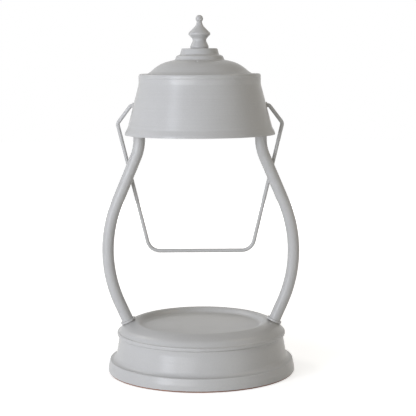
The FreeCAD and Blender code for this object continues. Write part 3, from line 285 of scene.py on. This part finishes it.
class Finish:
    """A material's node tree around one Principled shader, on the piece's own coordinates in metres."""

    def __init__(self, name, **settings):
        self.material = bpy.data.materials.new(name)
        self.material.use_nodes = True
        self.tree = self.material.node_tree
        self.shader = self.tree.nodes["Principled BSDF"]
        self.place = self.tree.nodes.new("ShaderNodeTexCoord").outputs["Object"]
        for socket, number in settings.items():
            self.shader.inputs[socket.replace("_", " ")].default_value = number

    def node(self, kind, inputs=(), **settings):
        made = self.tree.nodes.new(kind)
        for name, setting in settings.items():
            setattr(made, name, setting)
        for name, feed in dict(inputs).items():
            if isinstance(feed, bpy.types.NodeSocket):
                self.tree.links.new(feed, made.inputs[name])
            else:
                made.inputs[name].default_value = feed
        return made

    def noise(self, size, detail=2.0, stretch=None):
        """Noise from 0 to 1 whose features are about size metres wide."""
        place = self.place
        if stretch:
            place = self.node("ShaderNodeMapping", {"Vector": place, "Scale": stretch}).outputs[0]
        inputs = {"Vector": place, "Scale": 1 / size, "Detail": detail}
        return self.node("ShaderNodeTexNoise", inputs).outputs["Fac"]

    def between(self, factor, low, high):
        """A number that runs from low to high as the factor runs over the noise's usual range."""
        span = {"From Min": NOISE_LOW, "From Max": NOISE_HIGH, "To Min": low, "To Max": high}
        inputs = {"Value": factor, **span}
        return self.node("ShaderNodeMapRange", inputs).outputs[0]

    def colours(self, factor, low, high):
        mix = self.node("ShaderNodeMix", {"Factor": factor}, data_type="RGBA")
        mix.inputs[6].default_value = (*low, 1)
        mix.inputs[7].default_value = (*high, 1)
        return mix.outputs[2]

    def tint(self, colour, factor, low, high):
        """The colour made darker or lighter by a factor between low and high."""
        shade = self.between(factor, low, high)
        return self.node("ShaderNodeVectorMath", {0: colour, 1: shade}, operation="MULTIPLY").outputs[0]

    def away_from(self, height, reach):
        """0 at the given height on the piece, rising to 1 at half the reach above and below it."""
        upright = self.node("ShaderNodeSeparateXYZ", {"Vector": self.place}).outputs["Z"]
        offset = self.node("ShaderNodeMath", {0: upright, 1: height}, operation="SUBTRACT").outputs[0]
        distance = self.node("ShaderNodeMath", {0: offset}, operation="ABSOLUTE").outputs[0]
        inputs = {"Value": distance, "From Min": 0, "From Max": reach / 2}
        return self.node("ShaderNodeMapRange", inputs, interpolation_type="SMOOTHSTEP").outputs[0]

    def bump(self, height, distance, strength=1.0, under=None):
        inputs = {"Height": height, "Distance": distance, "Strength": strength}
        if under:
            inputs["Normal"] = under
        return self.node("ShaderNodeBump", inputs).outputs["Normal"]

    def feed(self, **sockets):
        for name, socket in sockets.items():
            self.tree.links.new(socket, self.shader.inputs[name.replace("_", " ")])
        return self.material


def paint(name="paint", turned=False, groove=None):
    """Satin powder coat in warm light grey: soft mottling, fine orange peel, a thin clear gloss.

    On turned pieces the faint rings of the spinning lathe show through the coat, and a shallow
    groove may run round the piece at a given height.
    """
    finish = Finish(name, Specular_IOR_Level=0.05, Coat_Weight=0.4, Coat_Roughness=0.25)
    mottle = finish.noise(PAINT_MOTTLE, 3)
    grain = finish.noise(PAINT_GRAIN, 2)
    colour = finish.colours(finish.between(mottle, 0, 1), *PAINT_GREYS)
    colour = finish.tint(colour, grain, 0.975, 1.025)
    relief = finish.bump(finish.noise(PAINT_PEEL, 1.5), PAINT_PEEL_DEPTH, PAINT_RELIEF)
    relief = finish.bump(finish.noise(PAINT_PORE, 1), PAINT_PORE_DEPTH, PAINT_RELIEF, relief)
    if turned:
        rings = finish.noise(RING_PITCH, 2, stretch=(RING_STRETCH, RING_STRETCH, 1))
        relief = finish.bump(rings, RING_DEPTH, RING_RELIEF, relief)
    if groove:
        relief = finish.bump(finish.away_from(groove, GROOVE_WIDTH), GROOVE_DEPTH, 1, relief)
    return finish.feed(
        Base_Color=colour,
        Roughness=finish.between(finish.noise(PAINT_PATCH, 4), *PAINT_ROUGHNESS),
        Normal=relief,
        Coat_Normal=relief,
    )


def metal(name, dark, light, rough, grain_size, stretch=None, depth=0.00001):
    """Bare or plated metal with a fine uneven grain."""
    finish = Finish(name, Metallic=1.0)
    grain = finish.noise(grain_size, 4, stretch)
    stain = finish.noise(0.015, 3)
    colour = finish.colours(finish.between(stain, 0, 1), dark, light)
    return finish.feed(
        Base_Color=finish.tint(colour, grain, 0.93, 1.05),
        Roughness=finish.between(grain, rough - 0.07, rough + 0.07),
        Normal=finish.bump(grain, depth, 0.6),
    )


def moulded(name, dark, light, rough, pore=0.0006, depth=0.00002, **settings):
    """A moulded or fired material with fine pores."""
    finish = Finish(name, **settings)
    pores = finish.noise(pore, 3)
    cloud = finish.noise(0.01, 3)
    colour = finish.colours(finish.between(cloud, 0, 1), dark, light)
    return finish.feed(
        Base_Color=finish.tint(colour, pores, 0.96, 1.03),
        Roughness=finish.between(pores, rough - 0.06, rough + 0.06),
        Normal=finish.bump(pores, depth, 0.6),
    )


def clear_glass():
    finish = Finish("clear_glass", IOR=1.47, Transmission_Weight=1.0)
    smears = finish.noise(0.008, 3)
    return finish.feed(
        Base_Color=finish.colours(finish.between(smears, 0, 1), (0.94, 0.96, 0.96), (0.98, 0.99, 0.99)),
        Roughness=finish.between(smears, 0.01, 0.05),
        Normal=finish.bump(smears, 0.00002, 0.2),
    )


MATERIALS = {
    "paint": paint(),
    "turned_paint": paint("turned_paint", turned=True),
    "shade_paint": paint("shade_paint", turned=True, groove=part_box("shade")[1].z - GROOVE_DROP),
    "felt": moulded("felt", (0.20, 0.085, 0.045), (0.30, 0.14, 0.085), 0.95, 0.0004, 0.0002),
    "cast_iron": metal("cast_iron", (0.05, 0.05, 0.05), (0.09, 0.088, 0.085), 0.62, 0.002, depth=0.0002),
    "plated_steel": metal("plated_steel", (0.55, 0.56, 0.58), (0.66, 0.67, 0.68), 0.34, 0.0008),
    "fasteners": metal("fasteners", (0.60, 0.60, 0.61), (0.70, 0.70, 0.70), 0.26, 0.0005),
    "brass": metal("brass", (0.62, 0.43, 0.17), (0.74, 0.54, 0.24), 0.26, 0.0006),
    "gland_plastic": moulded("gland_plastic", (0.50, 0.50, 0.49), (0.56, 0.56, 0.55), 0.5),
    "terminal_plastic": moulded("terminal_plastic", (0.76, 0.76, 0.72), (0.84, 0.84, 0.80), 0.45),
    "ceramic": moulded("ceramic", (0.80, 0.79, 0.74), (0.87, 0.86, 0.82), 0.55, 0.0004, 0.00003),
    "reflector": metal("reflector", (0.82, 0.82, 0.82), (0.88, 0.88, 0.88), 0.12, 0.002),
    "clear_glass": clear_glass(),
    "bush_plastic": moulded("bush_plastic", (0.54, 0.535, 0.525), (0.60, 0.595, 0.585), 0.4),
    "silicone": moulded("silicone", (0.74, 0.72, 0.67), (0.80, 0.78, 0.73), 0.6, 0.001),
}


# Pieces modelled here


def turned_mesh(name, profile, columns, faceted=(), closed=False):
    """A mesh turned about the lamp's axis from (radius, height) points.

    On the faceted rings every second point lies on the chord between its neighbours, so that
    pairs of faces make one flat facet. A closed profile's last ring joins its first.
    """
    work = bmesh.new()
    rings = []
    for index, (radius, height) in enumerate(profile):
        ring = []
        for column in range(columns):
            angle = 2 * math.pi * column / columns
            on_chord = index in faceted and column % 2
            reach = radius * math.cos(2 * math.pi / columns) if on_chord else radius
            ring.append(work.verts.new((reach * math.cos(angle), reach * math.sin(angle), height)))
        rings.append(ring)
    pairs = list(zip(range(len(rings)), range(1, len(rings))))
    if closed:
        pairs.append((len(rings) - 1, 0))
    for low, high in pairs:
        flat = low in faceted and high in faceted
        for column in range(columns):
            after = (column + 1) % columns
            corners = (rings[low][column], rings[low][after], rings[high][after], rings[high][column])
            work.faces.new(corners).smooth = not flat
    if not closed:
        work.faces.new(rings[0])
        work.faces.new(rings[-1])
    bmesh.ops.recalc_face_normals(work, faces=work.faces)
    mesh = bpy.data.meshes.new(name)
    work.to_mesh(mesh)
    work.free()
    return new_piece(name, mesh)


def new_piece(name, data):
    piece = bpy.data.objects.new(name, data)
    bpy.context.scene.collection.objects.link(piece)
    return piece


def finish_piece(piece, body, slot, *replaced):
    piece.data.materials.append(MATERIALS[slot])
    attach(piece, body)
    if replaced:
        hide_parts(*replaced)
    return piece


def felt_disc():
    """Felt disc under the base: soft upper and lower edge, cut a little unevenly."""
    low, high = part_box("felt_pad")
    radius = high.x - FELT_FRAY
    rounding = FELT_EDGE * FELT_ROUNDING
    inner = [radius * share for share in FELT_RINGS]
    profile = [(r, low.z) for r in inner]
    profile += [(radius - FELT_EDGE, low.z), (radius - rounding, low.z + rounding)]
    profile += [(radius, low.z + FELT_EDGE), (radius, high.z - FELT_EDGE)]
    profile += [(radius - rounding, high.z - rounding), (radius - FELT_EDGE, high.z)]
    profile += [(r, high.z) for r in reversed(inner)]
    felt = turned_mesh("felt_disc", profile, FELT_COLUMNS)
    for vertex in felt.data.vertices:
        across = Vector((vertex.co.x, vertex.co.y))
        if across.length > radius - FELT_EDGE * 2:
            angle = math.atan2(across.y, across.x)
            wave = math.sin(FELT_FRAY_WAVES * angle + 2 * math.sin(FELT_FRAY_DRIFT * angle))
            fray = 1 + FELT_FRAY / radius * wave
            vertex.co.x *= fray
            vertex.co.y *= fray
    finish_piece(felt, "lamp", "felt", "felt_pad")


def faceted_reflector():
    """The bulb's reflector: smooth glass outside, rows of flat mirror facets inside."""
    low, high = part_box("bulb_reflector")
    rim, foot, top = high.x, low.z, high.z
    bowl_z = foot + REFLECTOR_RIM + REFLECTOR_BOWL_RISE
    neck = REFLECTOR_NECK + REFLECTOR_GLASS * REFLECTOR_NECK_WALLS
    outside = [(rim, foot), (rim, foot + REFLECTOR_RIM)]
    for step in range(1, REFLECTOR_OUTSIDE_STEPS + 1):
        share = step / REFLECTOR_OUTSIDE_STEPS
        blend = (1 - share) ** 2, 2 * share * (1 - share), share**2
        radius = blend[0] * rim + blend[1] * REFLECTOR_BOWL_RADIUS + blend[2] * neck
        height = blend[0] * (foot + REFLECTOR_RIM) + blend[1] * bowl_z + blend[2] * top
        outside.append((radius, height))
    mouth = rim - REFLECTOR_GLASS
    inside = []
    for row in range(REFLECTOR_FACET_ROWS + 1):
        share = row / REFLECTOR_FACET_ROWS
        radius = REFLECTOR_NECK + (mouth - REFLECTOR_NECK) * share
        depth = (radius**2 - REFLECTOR_NECK**2) / (mouth**2 - REFLECTOR_NECK**2)
        inside.append((radius, top - (top - foot - REFLECTOR_RIM / 2) * depth))
    inside.append((mouth, foot))
    faceted = range(len(outside), len(outside) + REFLECTOR_FACET_ROWS + 1)
    bowl = turned_mesh("faceted_reflector", outside + inside, REFLECTOR_COLUMNS, faceted, closed=True)
    finish_piece(bowl, "bulb", "reflector", "bulb_reflector")


def filament():
    """Coiled tungsten wire on two straight legs inside the capsule."""
    low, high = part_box("bulb_capsule")
    middle = (low.z + high.z) / 2 - COIL_HEIGHT / 4
    bottom = middle - COIL_HEIGHT / 2
    leg_top = high.z - COIL_HEIGHT / 4
    points = [(COIL_RADIUS * COIL_LEG_OUT, 0, leg_top), (COIL_RADIUS * COIL_LEG_OUT, 0, bottom)]
    count = COIL_TURNS * COIL_POINTS_A_TURN
    for step in range(count + 1):
        angle = 2 * math.pi * step / COIL_POINTS_A_TURN
        height = bottom + COIL_HEIGHT * step / count
        points.append((COIL_RADIUS * math.cos(angle), COIL_RADIUS * math.sin(angle), height))
    points.append((-COIL_RADIUS * COIL_RETURN_OUT, 0, bottom + COIL_HEIGHT * COIL_RETURN_RISE))
    points.append((-COIL_RADIUS * COIL_RETURN_OUT, 0, leg_top))
    curve = bpy.data.curves.new("filament", "CURVE")
    curve.dimensions = "3D"
    curve.bevel_depth = COIL_WIRE
    curve.bevel_resolution = 2
    curve.use_fill_caps = True
    spline = curve.splines.new("POLY")
    spline.points.add(len(points) - 1)
    for point, place in zip(spline.points, points):
        point.co = (*place, 1)
    finish_piece(new_piece("filament", curve), "bulb", "fasteners")


def dress_cad_nodes():
    for part in frame["record"]["subparts"]:
        slots = frame["nodes"][part["node"]].data.materials
        slots.clear()
        slots.append(MATERIALS[TURNED_PAINTS.get(part["node"], part["material_slot"])])


photo_camera()
white_surround()
pale_floor()
middle = Vector((0, 0, CAD_BOX[1].z / 2))
for lamp in STUDIO_LAMPS:
    studio_lamp(*lamp, target=middle)
studio_lamp(*BACK_FILL, target=middle).visible_glossy = False
dress_cad_nodes()
felt_disc()
faceted_reflector()
filament()

bpy.context.scene.view_settings.view_transform = "Standard"
